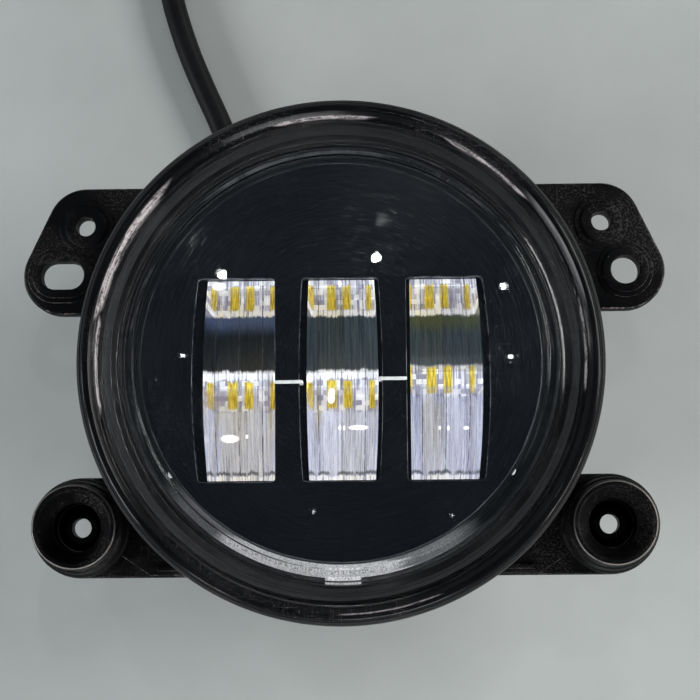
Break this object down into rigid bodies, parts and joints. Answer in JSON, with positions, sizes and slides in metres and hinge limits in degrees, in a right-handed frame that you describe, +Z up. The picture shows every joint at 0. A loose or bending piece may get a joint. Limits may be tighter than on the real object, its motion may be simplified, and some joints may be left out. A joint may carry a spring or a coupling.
{
  "type": "fog light",
  "caption": "Round LED fog lamp with a clear domed lens, gloss black mask with window slots, cast housing with mounting ears and rear fins, and a lead with a sealed connector.",
  "frame": {"origin": "under the middle of the lens, on the surface that the fins stand on", "axes": "+Z up through the lens, the way the light shines; +X towards the ears with the round locating hole; +Y towards the upper ears, where the cable leaves"},
  "size_m": [0.1342, 0.2114, 0.0641],
  "materials": {
    "cast_body": "black powder coat over die-cast aluminium, scuffed at the edges",
    "gloss_trim": "gloss black moulding",
    "clear_lens": "clear polycarbonate with fine swirl scratches",
    "rubber": "matte black rubber",
    "metallised": "vacuum-metallised mirror",
    "plate_metal": "bright milled",
    "thermal_pad": "soft grey",
    "white_board": "white solder mask",
    "phosphor": "yellow phosphor over white package",
    "steel": "zinc plated",
    "green_board": "green solder mask",
    "black_plastic": "fine texture",
    "wire_red": "satin insulation",
    "wire_black": "satin insulation",
    "cable_jacket": "satin black jacket",
    "brass": "tinned brass"
  },
  "bodies": {
    "root": {"housing": "cast_body", "front_ring": "gloss_trim", "mask": "gloss_trim", "lens": "clear_lens", "lens_seal": "rubber", "vent_plug": "rubber", "cable_gland": "rubber", "connector_seal": "rubber", "reflector_upper": "metallised", "reflector_lower": "metallised", "led_plate_upper": "plate_metal", "led_plate_middle": "plate_metal", "capacitor_1": "plate_metal", "capacitor_2": "plate_metal", "thermal_pad_upper": "thermal_pad", "thermal_pad_middle": "thermal_pad", "inductor": "thermal_pad", "led_board_upper": "white_board", "led_board_middle": "white_board", "led_1": "phosphor", "led_2": "phosphor", "led_3": "phosphor", "led_4": "phosphor", "led_5": "phosphor", "led_6": "phosphor", "plate_screw_1": "steel", "plate_screw_2": "steel", "plate_screw_3": "steel", "plate_screw_4": "steel", "reflector_screw_1": "steel", "reflector_screw_2": "steel", "reflector_screw_3": "steel", "reflector_screw_4": "steel", "board_screw_1": "steel", "board_screw_2": "steel", "board_screw_3": "steel", "board_screw_4": "steel", "driver_board": "green_board", "driver_chip": "black_plastic", "connector_body": "black_plastic", "supply_wire_1": "wire_red", "led_wire_middle": "wire_red", "led_wire_upper": "wire_red", "supply_wire_2": "wire_black", "cable_lead": "cable_jacket", "cable_coil": "cable_jacket", "cable_tail": "cable_jacket", "connector_blade_1": "brass", "connector_blade_2": "brass"}
  },
  "joints": []
}
